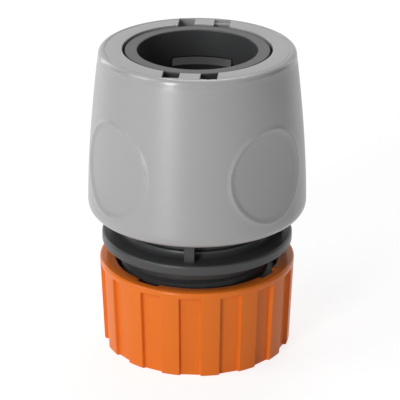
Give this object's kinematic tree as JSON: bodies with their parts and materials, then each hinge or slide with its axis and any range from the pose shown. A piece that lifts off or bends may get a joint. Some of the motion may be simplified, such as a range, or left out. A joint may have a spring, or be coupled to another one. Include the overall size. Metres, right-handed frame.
{
  "type": "garden hose quick connector",
  "caption": "Push-fit hose end connector: a sprung release sleeve over a clawed socket, with a fluted nut that clamps the hose.",
  "frame": {"origin": "middle of the nut's lower face, on which the connector stands", "axes": "+Z along the waterway towards the mouth, Y through the two locking claws"},
  "size_m": [0.0414, 0.0414, 0.0591],
  "materials": {
    "body_plastic": "satin dark grey moulding",
    "sleeve_plastic": "fine matt light grey moulding",
    "claw_plastic": "satin dark grey acetal",
    "spring_steel": "drawn stainless wire",
    "ring_plastic": "satin dark grey moulding",
    "nut_plastic": "satin orange moulding"
  },
  "bodies": {
    "body": {"connector_body": "body_plastic", "release_spring": "spring_steel"},
    "sleeve": {"release_sleeve": "sleeve_plastic"},
    "claw_front": {"locking_claw_front": "claw_plastic"},
    "claw_rear": {"locking_claw_rear": "claw_plastic"},
    "clamp_ring": {"hose_clamp_ring": "ring_plastic"},
    "nut": {"coupling_nut": "nut_plastic"}
  },
  "joints": [
    {"name": "sleeve_slide", "type": "slide", "parent": "body", "child": "sleeve", "axis": [0, 0, 1], "range_m": [-0.004, 0], "stiffness_N_per_m": 400, "springref_m": 0.001, "deforming": ["release_spring"]},
    {"name": "claw_front_slide", "type": "slide", "parent": "body", "child": "claw_front", "axis": [0, -1, 0], "range_m": [0, 0.0013]},
    {"name": "claw_rear_slide", "type": "slide", "parent": "body", "child": "claw_rear", "axis": [0, 1, 0], "range_m": [0, 0.0013]},
    {"name": "ring_slide", "type": "slide", "parent": "body", "child": "clamp_ring", "axis": [0, 0, 1], "range_m": [-0.0016, 0.0032]},
    {"name": "nut_turn", "type": "hinge", "parent": "clamp_ring", "child": "nut", "pos_m": [0, 0, 0.009], "axis": [0, 0, 1], "range_deg": [-180, 360]}
  ],
  "couplings": [
    {"joint": "claw_front_slide", "follows": "sleeve_slide", "ratio": -0.325},
    {"joint": "claw_rear_slide", "follows": "sleeve_slide", "ratio": -0.325},
    {"joint": "ring_slide", "follows": "nut_turn", "m_per_rad": 0.00050929}
  ]
}
